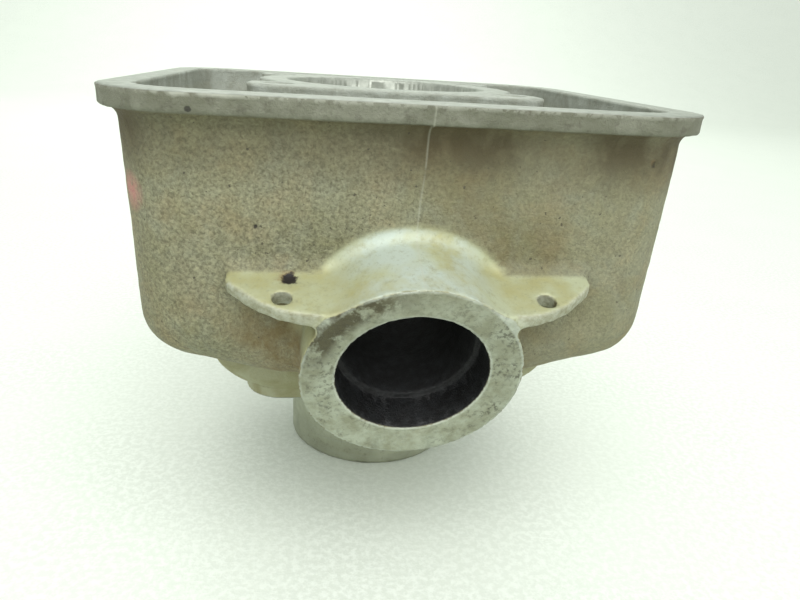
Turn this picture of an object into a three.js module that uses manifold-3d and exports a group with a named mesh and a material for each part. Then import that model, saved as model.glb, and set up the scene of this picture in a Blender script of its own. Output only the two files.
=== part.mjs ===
// Barrel of a liquid-cooled two-stroke engine: a sand-cast water jacket with its bore, exhaust spigot
// and base flange, an iron liner, and the small parts that stay on the barrel when it is off its engine.
import * as THREE from "three";
import { mergeVertices } from "three/addons/utils/BufferGeometryUtils.js";
import Module from "manifold-3d";

const wasm = await Module();
wasm.setup();

// Driving dimensions in millimetres. x runs across the barrel, y from the exhaust side (negative) to the
// back, and z up. The cylinder axis is x = 0, y = 0, and the skirt of the liner ends at z = 0.
const GAP = 0.3;
const DRAFT = Math.tan(THREE.MathUtils.degToRad(1.9));
const DECK_Z = 131;

const rim = { halfWidth: 75, front: -87, back: 60, radius: 23, thickness: 4.9 };
const jacket = { halfWidth: 71.2, front: -82, back: 55, radius: 18, floor: 62.3, bottomRadius: 12.5 };
const keel = { level: 57.2, half: 28, reach: 57, inset: 12, indent: 2.4, overlap: 0.6 };
const wall = { side: 3.6, front: 6.6, back: 4, floor: 5 };
const island = { radius: 42, halfWidth: 43.4, halfDepth: 43.8, barDepth: 20, cornerRadius: 8 };
const studs = { x: 35, y: 32, radius: 4.5 };
const base = { halfWidth: 45.4, halfDepth: 42.5, radius: 12, bottom: 34, thickness: 4.5 };
const body = { halfWidth: 56, halfDepth: 49, shoulder: 54, top: 66, inset: 1, fullness: 0.6 };

const liner = { bore: 27, outer: 30.7, flange: 32.4, flangeHeight: 5, top: DECK_Z - 5, chamfer: 1.6 };
const recess = liner.flange + GAP;
const stroke = 54;
const ports = {
  floor: liner.top - stroke,
  exhaust: { width: 36, height: 26 },
  transfer: { width: 15, height: 14, turn: THREE.MathUtils.degToRad(18) },
  boost: { width: 18, height: 14 },
  corner: 3,
};
const passage = { reach: 45, halfDepth: 17, radius: 6, boostStart: 20, boostReach: 38, wall: 4 };
const passageTop = ports.floor + ports.transfer.height + 2;

// The exhaust spigot is turned about an axis that rises towards the cylinder. Distances along it start at
// its face.
const duct = { tilt: THREE.MathUtils.degToRad(18.4), y: -92.4, z: 67.1, outer: 27.8, drop: 1.1, length: 75 };
const socket = { radius: 19, depth: 11, throat: 17.4, throatLength: 69 };

// A spring ear in plan, from the spigot's axis out to its tip: straight, then two quadratic curves.
const ear = {
  level: 14.8,
  thickness: 4.2,
  front: 0.6,
  rootX: 24,
  bend: [34, 1.5],
  shoulder: [40.5, 8.5],
  noseX: 43.6,
  noseY: 11.4,
  tipX: 46.6,
  tipY: 14.2,
  heelX: 44.4,
  heelY: 17.5,
  reach: 24,
  hole: { x: 31.6, y: 7, radius: 2.05 },
};

const dowel = { outer: 6, inner: 4.5, length: 12, sunk: 6, chamfer: 0.6 };
const peg = { radius: 1.5, length: 9, at: 32.3 };
const nipple = {
  z: 80,
  thread: 6.2,
  bore: 4.5,
  hex: 9.5,
  hexHeight: 6,
  tube: 6.5,
  barb: 7.6,
  barbs: 2,
  neck: 3,
  length: 20,
  bossRadius: 11,
};
const drain = { x: -44, z: 78, thread: 3.7, hex: 6.5, hexHeight: 4.5, bossRadius: 8 };
const boss = { face: 61.5, root: jacket.back - 8, holeEnd: jacket.back - 10 };
const washer = { thickness: 1.2, margin: 1.2 };

// Where the casting is parted into its regions. Each level is named after the metal below it.
const parting = {
  side: 57.3,
  front: -50.3,
  back: 44.4,
  earRoot: -80.9,
  earLevels: [70, 96],
  bossRoot: 54,
  bossTop: 95,
  levels: [
    ["base_flange", base.bottom + base.thickness + 0.15],
    ["transfer_body", 69.5],
    ["port_block", 92.4],
    ["cylinder_post", DECK_Z + 1],
  ],
  far: 200,
};

const castSkin = new THREE.MeshStandardMaterial({ color: 0x9a9885, roughness: 0.7, metalness: 0.5 });
const iron = new THREE.MeshStandardMaterial({ color: 0x6d6f68, roughness: 0.45, metalness: 0.8 });
const steel = new THREE.MeshStandardMaterial({ color: 0x8b8d8f, roughness: 0.35, metalness: 0.9 });
const brass = new THREE.MeshStandardMaterial({ color: 0xb08d4a, roughness: 0.4, metalness: 0.9 });
const washerMetal = new THREE.MeshStandardMaterial({ color: 0xb6b8b4, roughness: 0.45, metalness: 0.8 });

// ---- solids ----

function toSolid(geometry) {
  const bare = geometry.clone();
  bare.deleteAttribute("normal");
  bare.deleteAttribute("uv");
  const merged = mergeVertices(bare, 1e-4);
  const index = merged.index.array;
  const kept = [];
  for (let i = 0; i < index.length; i += 3) {
    const [a, b, c] = [index[i], index[i + 1], index[i + 2]];
    if (a !== b && b !== c && c !== a) kept.push(a, b, c);
  }
  return new wasm.Manifold(
    new wasm.Mesh({
      numProp: 3,
      vertProperties: new Float32Array(merged.attributes.position.array),
      triVerts: new Uint32Array(kept),
    }),
  );
}

function toGeometry(solid) {
  const mesh = solid.getMesh();
  const geometry = new THREE.BufferGeometry();
  geometry.setAttribute("position", new THREE.BufferAttribute(new Float32Array(mesh.vertProperties), 3));
  geometry.setIndex(new THREE.BufferAttribute(new Uint32Array(mesh.triVerts), 1));
  geometry.computeVertexNormals();
  return geometry;
}

function join(...solids) {
  return solids.reduce((sum, next) => sum.add(next));
}

function cut(stock, ...tools) {
  return tools.reduce((left, tool) => left.subtract(tool), stock);
}

// ---- outlines ----

// A closed outline through corners [x, y, radius], where each radius rounds its corner with a tangent arc.
function roundedOutline(corners) {
  const shape = new THREE.Shape();
  corners.forEach(([x, y, radius = 0], i) => {
    const here = new THREE.Vector2(x, y);
    const before = cornerAt(corners, i - 1).sub(here).normalize();
    const after = cornerAt(corners, i + 1).sub(here).normalize();
    const half = Math.acos(before.dot(after)) / 2;
    const start = here.clone().addScaledVector(before, radius / Math.tan(half));
    if (i === 0) shape.moveTo(start.x, start.y);
    else shape.lineTo(start.x, start.y);
    if (radius > 0) {
      const end = here.clone().addScaledVector(after, radius / Math.tan(half));
      const centre = before.clone().add(after).normalize().multiplyScalar(radius / Math.sin(half)).add(here);
      const from = start.clone().sub(centre).angle();
      const to = end.clone().sub(centre).angle();
      shape.absarc(centre.x, centre.y, radius, from, to, before.cross(after) > 0);
    }
  });
  shape.closePath();
  return shape;
}

function cornerAt(corners, i) {
  const [x, y] = corners[(i + corners.length) % corners.length];
  return new THREE.Vector2(x, y);
}

function roundedRectangle(x0, x1, y0, y1, radius) {
  return roundedOutline([
    [x0, y0, radius],
    [x1, y0, radius],
    [x1, y1, radius],
    [x0, y1, radius],
  ]);
}

// ---- prisms and turned shapes ----

const FRONT_VIEW = new THREE.Matrix4().makeBasis(
  new THREE.Vector3(1, 0, 0),
  new THREE.Vector3(0, 0, 1),
  new THREE.Vector3(0, -1, 0),
);

function planPrism(shape, bottom, top, segments = 8) {
  const geometry = new THREE.ExtrudeGeometry(shape, {
    depth: top - bottom,
    bevelEnabled: false,
    curveSegments: segments,
  });
  return toSolid(geometry.translate(0, 0, bottom));
}

// An outline drawn in x and z, swept along y from one end to the other.
function frontPrism(shape, front, back, segments = 8) {
  const geometry = new THREE.ExtrudeGeometry(shape, {
    depth: back - front,
    bevelEnabled: false,
    curveSegments: segments,
  });
  return toSolid(geometry.applyMatrix4(FRONT_VIEW).translate(0, back, 0));
}

function uprightRod(radius, bottom, top, x = 0, y = 0, segments = 24) {
  const geometry = new THREE.CylinderGeometry(radius, radius, top - bottom, segments);
  return toSolid(geometry.rotateX(Math.PI / 2).translate(x, y, (bottom + top) / 2));
}

function lengthwiseRod(radius, front, back, x, z, segments = 24) {
  const geometry = new THREE.CylinderGeometry(radius, radius, back - front, segments);
  return toSolid(geometry.translate(x, (front + back) / 2, z));
}

// A solid of revolution about z from a closed profile of [radius, height] points.
function turned(profile, segments) {
  const points = profile.map(([radius, height]) => new THREE.Vector2(radius, height));
  points.push(points[0].clone());
  return new THREE.LatheGeometry(points, segments).rotateX(Math.PI / 2);
}

// ---- the exhaust duct's own frame: x across, y back along the duct, z square to both ----

const DUCT_FRAME = new THREE.Matrix4()
  .makeTranslation(0, duct.y, duct.z)
  .multiply(new THREE.Matrix4().makeRotationX(duct.tilt));

function ductRod(radius, from, to, drop = 0, segments = 48) {
  const geometry = new THREE.CylinderGeometry(radius, radius, to - from, segments);
  return toSolid(geometry.translate(0, (from + to) / 2, -drop).applyMatrix4(DUCT_FRAME));
}

function springEar(side) {
  const shape = new THREE.Shape();
  shape.moveTo(0, ear.front);
  shape.lineTo(ear.rootX, ear.front);
  shape.quadraticCurveTo(...ear.bend, ...ear.shoulder);
  shape.lineTo(ear.noseX, ear.noseY);
  shape.quadraticCurveTo(ear.tipX, ear.tipY, ear.heelX, ear.heelY);
  shape.lineTo(ear.heelX, ear.reach);
  shape.lineTo(0, ear.reach);
  shape.closePath();
  const hole = new THREE.Path();
  hole.absarc(ear.hole.x, ear.hole.y, ear.hole.radius, 0, 2 * Math.PI, true);
  shape.holes.push(hole);
  const plate = new THREE.ExtrudeGeometry(shape, {
    depth: ear.thickness,
    bevelEnabled: false,
    curveSegments: 12,
  });
  plate.translate(0, 0, ear.level).applyMatrix4(DUCT_FRAME);
  const solid = toSolid(plate);
  return side > 0 ? solid : solid.mirror([1, 0, 0]);
}

// ---- the casting ----

// A plan outline raised from its floor to its top, with the edge round the floor rounded off.
function bellyBlock(shape, floor, top, radius) {
  const geometry = new THREE.ExtrudeGeometry(shape, {
    depth: top - floor,
    bevelThickness: radius,
    bevelSize: radius,
    bevelOffset: -radius,
    bevelSegments: 6,
    curveSegments: 7,
  });
  return geometry.translate(0, 0, floor + radius);
}

// The block of the water jacket, or of the space inside it when inset by the walls, with drafted sides.
function jacketBlock(inset, top) {
  const half = jacket.halfWidth - inset.side;
  const front = jacket.front + inset.front;
  const back = jacket.back - inset.back;
  const middle = (front + back) / 2;
  const radius = jacket.bottomRadius - inset.side;
  const shape = roundedRectangle(-half, half, front, back, jacket.radius - inset.side);
  const geometry = bellyBlock(shape, jacket.floor + inset.floor, top, radius);
  const position = geometry.attributes.position;
  for (let i = 0; i < position.count; i += 1) {
    const lean = Math.max(DECK_Z - position.getZ(i), 0) * DRAFT;
    position.setX(i, position.getX(i) * (1 - lean / half));
    position.setY(i, middle + (position.getY(i) - middle) * (1 - lean / (back - middle)));
  }
  const slab = new THREE.BoxGeometry(4 * half, 4 * half, top).translate(0, 0, top / 2);
  return toSolid(geometry).intersect(toSolid(slab));
}

// The shallow keel by which the jacket's floor falls towards the middle.
function floorKeel() {
  const front = jacket.front + keel.indent;
  const back = jacket.back - keel.indent;
  const crown = jacket.floor + jacket.bottomRadius / 2;
  const brim = jacket.floor + keel.overlap;
  const shape = roundedOutline([
    [-keel.reach, front + keel.inset],
    [-keel.half, front],
    [keel.half, front],
    [keel.reach, front + keel.inset],
    [keel.reach, back - keel.inset],
    [keel.half, back],
    [-keel.half, back],
    [-keel.reach, back - keel.inset],
  ]);
  const fall = roundedOutline([
    [-keel.reach, crown],
    [-keel.reach, brim],
    [-keel.half, keel.level],
    [keel.half, keel.level],
    [keel.reach, brim],
    [keel.reach, crown],
  ]);
  const block = toSolid(bellyBlock(shape, keel.level, crown, jacket.bottomRadius));
  return block.intersect(frontPrism(fall, front - 1, back + 1));
}

// The hollow under the jacket that holds the transfer passages, flaring from the base flange to its shoulder.
function transferBody() {
  const foot = base.bottom + base.thickness - 1;
  const halfWidth = base.halfWidth - body.inset;
  const halfDepth = base.halfDepth - body.inset;
  const shape = roundedRectangle(-halfWidth, halfWidth, -halfDepth, halfDepth, base.radius);
  const geometry = new THREE.ExtrudeGeometry(shape, {
    depth: body.top - foot,
    steps: 12,
    bevelEnabled: false,
    curveSegments: 5,
  });
  const position = geometry.translate(0, 0, foot).attributes.position;
  for (let i = 0; i < position.count; i += 1) {
    const rise = Math.min((position.getZ(i) - foot) / (body.shoulder - foot), 1);
    const flare = Math.sin((rise * Math.PI) / 2) ** body.fullness;
    const x = position.getX(i);
    const y = position.getY(i);
    position.setX(i, x + Math.sign(x) * flare * (body.halfWidth - halfWidth));
    position.setY(i, y + Math.sign(y) * flare * (body.halfDepth - halfDepth));
  }
  return toSolid(geometry);
}

function islandColumn(bottom, top) {
  const { halfWidth, halfDepth, barDepth, cornerRadius } = island;
  const frontBar = roundedRectangle(-halfWidth, halfWidth, -halfDepth, barDepth - halfDepth, cornerRadius);
  const backBar = roundedRectangle(-halfWidth, halfWidth, halfDepth - barDepth, halfDepth, cornerRadius);
  return join(
    uprightRod(island.radius, bottom, top, 0, 0, 64),
    planPrism(frontBar, bottom, top, 5),
    planPrism(backBar, bottom, top, 5),
  );
}

// The two side passages in one block that spans the cylinder, or the cast walls round them when grown.
function transferBlocks(grow, bottom) {
  const reach = passage.reach + grow;
  const half = passage.halfDepth + grow;
  const shape = roundedRectangle(-reach, reach, -half, half, passage.radius);
  return planPrism(shape, bottom, passageTop + grow, 4);
}

function boostBlock(grow, bottom) {
  const half = ports.boost.width / 2 + grow;
  const shape = roundedRectangle(-half, half, passage.boostStart, passage.boostReach + grow, ports.corner);
  return planPrism(shape, bottom, passageTop + grow, 4);
}

function studPositions() {
  return [-1, 1].flatMap((sx) => [-1, 1].map((sy) => [sx * studs.x, sy * studs.y]));
}

function barrelCasting() {
  const rimShape = roundedRectangle(-rim.halfWidth, rim.halfWidth, rim.front, rim.back, rim.radius);
  const rimPlate = planPrism(rimShape, DECK_Z - rim.thickness, DECK_Z);
  const { halfWidth, halfDepth } = base;
  const baseShape = roundedRectangle(-halfWidth, halfWidth, -halfDepth, halfDepth, base.radius);
  const basePlate = planPrism(baseShape, base.bottom, base.bottom + base.thickness, 6);
  const exhaust = ductRod(duct.outer, 0, duct.length, duct.drop);
  const block = join(
    rimPlate,
    jacketBlock({ side: 0, front: 0, back: 0, floor: 0 }, DECK_Z - 1),
    floorKeel(),
    transferBody(),
    basePlate,
    exhaust,
    springEar(-1),
    springEar(1),
    lengthwiseRod(nipple.bossRadius, boss.root, boss.face, 0, nipple.z, 32),
    lengthwiseRod(drain.bossRadius, boss.root, boss.face, drain.x, drain.z, 24),
  );
  const inside = join(
    islandColumn(jacket.floor, DECK_Z),
    exhaust,
    transferBlocks(passage.wall, jacket.floor),
    boostBlock(passage.wall, jacket.floor),
  );
  const waterSpace = jacketBlock(wall, DECK_Z + 1).subtract(inside);
  const dowelSeats = dowelPositions().map(([x, y]) =>
    uprightRod(dowel.outer + GAP, base.bottom - 1, base.bottom + dowel.sunk + GAP, x, y),
  );
  return cut(
    block,
    waterSpace,
    uprightRod(liner.outer + GAP, base.bottom - 1, DECK_Z + 1, 0, 0, 64),
    uprightRod(recess, liner.top - liner.flangeHeight - GAP, DECK_Z + 1, 0, 0, 64),
    ductRod(socket.radius, -1, socket.depth),
    ductRod(socket.throat, 0, socket.throatLength),
    transferBlocks(0, base.bottom - 1),
    boostBlock(0, base.bottom - 1),
    ...studPositions().map(([x, y]) => uprightRod(studs.radius, base.bottom - 1, DECK_Z + 1, x, y)),
    ...dowelSeats,
    pegRod(GAP),
    lengthwiseRod(nipple.thread + GAP, boss.holeEnd, boss.face + 1, 0, nipple.z),
    lengthwiseRod(drain.thread + GAP, boss.holeEnd, boss.face + 1, drain.x, drain.z),
  );
}

// ---- regions of the casting ----

// A box that spans the given ranges, which may end in null where they run on past the part.
function span(xRange, yRange, zRange) {
  const ranges = [xRange, yRange, zRange].map(([low, high]) => [low ?? -parting.far, high ?? parting.far]);
  const [width, depth, height] = ranges.map(([low, high]) => high - low);
  const middle = ranges.map(([low, high]) => (low + high) / 2);
  return toSolid(new THREE.BoxGeometry(width, depth, height).translate(...middle));
}

// What the casting is parted by, in turn: each zone takes the metal that is left inside it.
function partingZones() {
  const { side, front, back, earRoot, earLevels, bossRoot, bossTop, levels } = parting;
  const every = [null, null];
  const core = span([-side, side], [front, back], every);
  const bossSide = -nipple.bossRadius - 1;
  const rimFloor = DECK_Z - rim.thickness;
  const spigot = (grow) => ductRod(duct.outer + grow, -1, duct.length, duct.drop);
  const zones = [
    ["head_rim", (grow) => span(every, every, [rimFloor - grow, null]).subtract(core)],
    ["exhaust_spigot", (grow) => spigot(grow).intersect(span(every, [null, front + grow], every))],
    ["spring_ear_left", (grow) => span([null, 0], [null, earRoot + grow], earLevels)],
    ["spring_ear_right", (grow) => span([0, null], [null, earRoot + grow], earLevels)],
    ["drain_boss", (grow) => span([null, bossSide], [bossRoot - grow, null], [null, bossTop])],
    ["coolant_boss", (grow) => span([bossSide, null], [bossRoot - grow, null], [null, bossTop])],
    ["jacket_wall_left", (grow) => span([null, grow - side], every, every)],
    ["jacket_wall_right", (grow) => span([side - grow, null], every, every)],
    ["jacket_wall_front", (grow) => span(every, [null, front + grow], every)],
    ["jacket_wall_back", (grow) => span(every, [back - grow, null], every)],
  ];
  for (const [name, top] of levels) {
    zones.push([`${name}_left`, (grow) => span([null, grow - GAP / 2], every, [null, top + grow])]);
    zones.push([`${name}_right`, (grow) => span([GAP / 2 - grow, null], every, [null, top + grow])]);
  }
  return zones;
}

// The casting is one piece of metal, but its hollows are too many for one node's collision to follow. So it
// is handed over in regions, and the grown copy of each zone leaves a gap round its region.
function castingRegions() {
  let rest = barrelCasting();
  return partingZones().map(([name, zone]) => {
    const region = rest.intersect(zone(0));
    rest = rest.subtract(zone(GAP));
    return [name, region];
  });
}

// ---- the liner and its peg ----

function pegRod(grow) {
  const bottom = liner.top - liner.flangeHeight - peg.length / 2;
  return uprightRod(peg.radius + grow, bottom - grow, bottom + peg.length + grow, 0, peg.at, 16);
}

function window({ width, height }, angle) {
  const shape = roundedRectangle(-width / 2, width / 2, ports.floor, ports.floor + height, ports.corner);
  const geometry = new THREE.ExtrudeGeometry(shape, {
    depth: 2 * liner.outer,
    bevelEnabled: false,
    curveSegments: 3,
  });
  return toSolid(geometry.applyMatrix4(FRONT_VIEW).rotateZ(angle));
}

function cylinderLiner() {
  const { bore, outer, flange, flangeHeight, top, chamfer } = liner;
  const sleeve = turned(
    [
      [bore + chamfer - 0.4, 0],
      [outer - chamfer / 2, 0],
      [outer, chamfer],
      [outer, top - flangeHeight],
      [flange, top - flangeHeight],
      [flange, top],
      [bore + 0.6, top],
      [bore, top - 0.6],
      [bore, 2 * chamfer],
    ],
    64,
  );
  const windows = [window(ports.exhaust, 0), window(ports.boost, Math.PI)];
  for (const side of [-1, 1]) {
    for (const turn of [-ports.transfer.turn, ports.transfer.turn]) {
      windows.push(window(ports.transfer, (side * Math.PI) / 2 + turn));
    }
  }
  return cut(toSolid(sleeve), ...windows, pegRod(GAP));
}

// ---- small parts ----

function dowelPositions() {
  return [-1, 1].map((side) => [side * studs.x, studs.y]);
}

function hollowDowel() {
  const { outer, inner, length, chamfer } = dowel;
  return turned(
    [
      [inner, 0],
      [outer - chamfer, 0],
      [outer, chamfer],
      [outer, length - chamfer],
      [outer - chamfer, length],
      [inner, length],
    ],
    24,
  );
}

function flatWasher(thread, bossRadius) {
  const inner = thread + GAP;
  const outer = bossRadius - washer.margin;
  return turned(
    [
      [inner, 0],
      [outer, 0],
      [outer, washer.thickness],
      [inner, washer.thickness],
    ],
    24,
  );
}

// A hose fitting along z: the thread below z = 0, then the hexagon and the barbed tube above it.
function hoseNipple() {
  const { thread, bore, tube, barb, hex, hexHeight, length } = nipple;
  const threadLength = boss.face - jacket.back + 3;
  const neck = hexHeight + nipple.neck;
  const barbPitch = (length - neck) / nipple.barbs;
  const profile = [
    [bore, -threadLength],
    [thread - 0.5, -threadLength],
    [thread, -threadLength + 0.8],
    [thread, 0],
    [hex * Math.cos(Math.PI / 6) - 0.8, 0],
    [hex * Math.cos(Math.PI / 6) - 0.8, hexHeight],
    [tube, hexHeight],
    [tube, neck],
  ];
  for (let i = 0; i < nipple.barbs; i += 1) {
    const start = neck + i * barbPitch;
    profile.push([barb, start + 0.6], [tube, start + barbPitch]);
  }
  profile.push([bore, length]);
  const stem = toSolid(turned(profile, 24));
  const nut = new THREE.CylinderGeometry(hex, hex, hexHeight, 6);
  nut.rotateX(Math.PI / 2).translate(0, 0, hexHeight / 2);
  const hole = uprightRod(bore + 0.5, -1, hexHeight + 1);
  return join(stem, cut(toSolid(nut), hole));
}

function hexPlug() {
  const threadLength = boss.face - jacket.back + 2;
  const shank = uprightRod(drain.thread, -threadLength, 1);
  const head = new THREE.CylinderGeometry(drain.hex, drain.hex, drain.hexHeight, 6);
  head.rotateX(Math.PI / 2).translate(0, 0, drain.hexHeight / 2);
  const crown = turned(
    [
      [0, 0],
      [drain.hex, 0],
      [drain.hex, drain.hexHeight - 1],
      [drain.hex * 0.8, drain.hexHeight],
      [0, drain.hexHeight],
    ],
    24,
  );
  return join(shank, toSolid(head).intersect(toSolid(crown)));
}

// ---- assembly ----

function piece(name, geometry, material) {
  const mesh = new THREE.Mesh(geometry, material.clone());
  mesh.name = name;
  return mesh;
}

// A group whose z axis points out of the jacket's back face at the given place.
function backFitting(x, y, z, ...meshes) {
  const group = new THREE.Group();
  group.rotation.x = -Math.PI / 2;
  group.position.set(x, y, z);
  group.add(...meshes);
  return group;
}

const assembly = new THREE.Group();
castingRegions().forEach(([name, region]) => assembly.add(piece(name, toGeometry(region), castSkin)));
assembly.add(piece("cylinder_liner", toGeometry(cylinderLiner()), iron));
assembly.add(piece("liner_peg", toGeometry(pegRod(0)), steel));

dowelPositions().forEach(([x, y]) => {
  const mesh = piece(x < 0 ? "base_dowel_rear_left" : "base_dowel_rear_right", hollowDowel(), steel);
  mesh.position.set(x, y, base.bottom + dowel.sunk - dowel.length);
  assembly.add(mesh);
});

const washerY = boss.face + GAP;
const headY = washerY + washer.thickness + GAP;
const nippleWasher = flatWasher(nipple.thread, nipple.bossRadius);
const drainWasher = flatWasher(drain.thread, drain.bossRadius);
assembly.add(backFitting(0, washerY, nipple.z, piece("coolant_nipple_washer", nippleWasher, washerMetal)));
assembly.add(backFitting(drain.x, washerY, drain.z, piece("drain_plug_washer", drainWasher, washerMetal)));
assembly.add(backFitting(0, headY, nipple.z, piece("coolant_nipple", toGeometry(hoseNipple()), brass)));
assembly.add(backFitting(drain.x, headY, drain.z, piece("drain_plug", toGeometry(hexPlug()), steel)));

// The origin goes to the middle of the footprint, on the surface that the skirt stands on.
const extent = new THREE.Box3().setFromObject(assembly);
assembly.position.set(-(extent.min.x + extent.max.x) / 2, -(extent.min.y + extent.max.y) / 2, -extent.min.z);

const barrel = new THREE.Group();
barrel.add(assembly);

export default barrel;
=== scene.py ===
# Looks for the two-stroke barrel. The casting is meshed from a distance field that follows the CAD solids,
# with the fillets, draft and rough skin of a sand casting. The liner and the fittings have fields of their
# own, and the liner's peg keeps its CAD shape.
import math
from types import SimpleNamespace as Named

import bpy
import numpy as np
from mathutils import Matrix, Vector


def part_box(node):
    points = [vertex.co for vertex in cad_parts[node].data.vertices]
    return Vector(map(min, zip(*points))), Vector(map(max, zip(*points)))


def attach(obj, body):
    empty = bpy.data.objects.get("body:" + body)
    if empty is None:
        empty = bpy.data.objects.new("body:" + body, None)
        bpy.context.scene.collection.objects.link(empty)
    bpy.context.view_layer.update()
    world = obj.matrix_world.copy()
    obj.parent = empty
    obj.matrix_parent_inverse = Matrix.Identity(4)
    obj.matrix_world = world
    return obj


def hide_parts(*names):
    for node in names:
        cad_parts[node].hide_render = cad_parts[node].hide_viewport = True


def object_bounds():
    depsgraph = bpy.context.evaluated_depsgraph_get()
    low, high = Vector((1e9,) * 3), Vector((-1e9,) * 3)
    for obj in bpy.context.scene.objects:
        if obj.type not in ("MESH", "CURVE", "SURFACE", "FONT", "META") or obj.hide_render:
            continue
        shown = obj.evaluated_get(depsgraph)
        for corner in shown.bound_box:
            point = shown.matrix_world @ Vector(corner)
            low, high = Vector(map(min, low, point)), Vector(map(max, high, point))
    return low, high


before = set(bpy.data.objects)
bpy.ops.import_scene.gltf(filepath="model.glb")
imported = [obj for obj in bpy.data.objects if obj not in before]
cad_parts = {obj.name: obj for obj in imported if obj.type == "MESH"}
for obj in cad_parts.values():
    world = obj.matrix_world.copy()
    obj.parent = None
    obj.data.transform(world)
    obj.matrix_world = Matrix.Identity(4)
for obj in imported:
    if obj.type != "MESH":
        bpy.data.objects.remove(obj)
cad_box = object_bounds()

MM = 0.001
liner_low, liner_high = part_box("cylinder_liner")
AXIS_X = (liner_low.x + liner_high.x) / 2 / MM
AXIS_Y = (liner_low.y + liner_high.y) / 2 / MM
SMALL_PARTS = (
    "cylinder_liner", "liner_peg", "base_dowel_rear_left", "base_dowel_rear_right",
    "coolant_nipple", "coolant_nipple_washer", "drain_plug", "drain_plug_washer",
)
CAST_NODES = [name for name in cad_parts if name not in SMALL_PARTS]
cast_low = np.min([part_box(name)[0] for name in CAST_NODES], axis=0)
cast_high = np.max([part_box(name)[1] for name in CAST_NODES], axis=0)
DECK = cast_high[2] / MM
BASE = cast_low[2] / MM

# ---- shape of the casting, in millimetres from the cylinder axis and the end of the skirt ----

RIM = Named(half=75.0, front=-87.0, back=60.0, radius=23.0, thickness=4.9)
JACKET = Named(half=71.2, front=-82.0, back=55.0, radius=18.0, floor=62.3, edge=12.5)
KEEL = Named(level=57.2, half=28.0, reach=57.0)
WALL = Named(side=3.6, front=6.6, back=4.0, floor=5.0)
DRAFT = math.tan(math.radians(1.9))
ISLAND = Named(radius=42.0, half=43.4, depth=43.8, bar=20.0, corner=8.0)
BASE_PLATE = Named(half=45.4, depth=42.5, radius=12.0, thickness=4.5)
BODY = Named(half=56.0, depth=49.0, shoulder=54.0, inset=1.0, fullness=0.6, slope=0.75)
BORE = 31.0
RECESS = 32.7
RECESS_FLOOR = DECK - 10.3
STUD = Named(x=35.0, y=32.0, radius=4.5)
DOWEL_SEAT = Named(radius=6.3, depth=6.3)
TRANSFER = Named(reach=45.0, half=17.0, top=88.0, wall=4.0, corner=6.0)
BOOST = Named(half=9.0, reach=38.0, middle=29.0, corner=3.0)
TILT = math.radians(18.4)
DUCT = Named(y=-92.4, z=67.1, outer=27.8, drop=1.1, length=75.0, end_wall=6.0)
SOCKET = Named(radius=19.0, depth=11.0, throat=17.4)
EAR = Named(root=24.0, tip=45.2, reach=24.0, level=14.8, thickness=4.2, edge=1.1)
EAR_HOLE = Named(x=31.6, back=7.0, radius=2.05, low=6.0, high=24.0)
EAR_BOX = ((-47, -102, 74), (47, -68, 98))
EAR_MARGIN = 12
BOSS = Named(face=61.5, root=8.0, hole_end=45.0)
NIPPLE = Named(x=0.0, z=80.0, boss=11.0, hole=6.5)
DRAIN = Named(x=-44.0, z=78.0, boss=8.0, hole=4.0)

# radii where two shapes meet in a fillet, and of the edges of the shapes themselves
FILLET = Named(body=4, ear=2.6, duct=3.2, boss=2, rim=3, plate=1.6, bars=3, core_duct=4, core=3, water=3.5)
EDGE = Named(
    duct=0.5, boss=0.8, rim=0.9, plate=0.8, core=3.0,
    cut=0.4, cast=0.5, socket=0.3, seat=0.2, ear_hole=0.6, transfer=4.0, boost=3.0,
)
NOTHING_CUT = 20.0


def length(*parts):
    total = parts[0] * parts[0]
    for part in parts[1:]:
        total = total + part * part
    return np.sqrt(total)


def box2(x, y, half_x, half_y, radius):
    """Distance to a rounded rectangle about the origin."""
    qx = np.abs(x) - half_x + radius
    qy = np.abs(y) - half_y + radius
    return np.minimum(np.maximum(qx, qy), 0) + length(np.maximum(qx, 0), np.maximum(qy, 0)) - radius


def meet(a, b, radius):
    """Intersection of two fields with the edge between them rounded."""
    rounded = length(np.maximum(a + radius, 0), np.maximum(b + radius, 0))
    return np.minimum(-radius, np.maximum(a, b)) + rounded


def blend(a, b, radius):
    """Union of two fields with a fillet between them."""
    return -meet(-a, -b, radius)


def carve(a, b, radius):
    """What is left of a when b is taken away, with the rim of the cut rounded."""
    return meet(a, -b, radius)


def slab(z, low, high):
    return np.maximum(low - z, z - high)


def polygon(x, y, points):
    """Distance to a closed polygon."""
    points = np.array(points, float)
    best = np.full(x.shape, 1e9)
    inside = np.zeros(x.shape, bool)
    for (ax, ay), (bx, by) in zip(points, np.roll(points, -1, 0)):
        ex, ey = bx - ax, by - ay
        wx, wy = x - ax, y - ay
        t = np.clip((wx * ex + wy * ey) / (ex * ex + ey * ey), 0, 1)
        best = np.minimum(best, (wx - ex * t) ** 2 + (wy - ey * t) ** 2)
        crosses = ((ay > y) != (by > y)) & (x < ex * (y - ay) / (ey if abs(ey) > 1e-9 else 1e-9) + ax)
        inside ^= crosses
    return np.where(inside, -1, 1) * np.sqrt(best)


def duct_axes(p):
    """Coordinates about the exhaust spigot: x, distance back from its face, and height over its axis."""
    y, z = p[1] - DUCT.y, p[2] - DUCT.z
    return p[0], y * math.cos(TILT) + z * math.sin(TILT), z * math.cos(TILT) - y * math.sin(TILT)


def duct_tube(ax, up):
    """Distance to the round outside of the exhaust duct, endless along its axis."""
    return length(ax, up + DUCT.drop) - DUCT.outer


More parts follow.
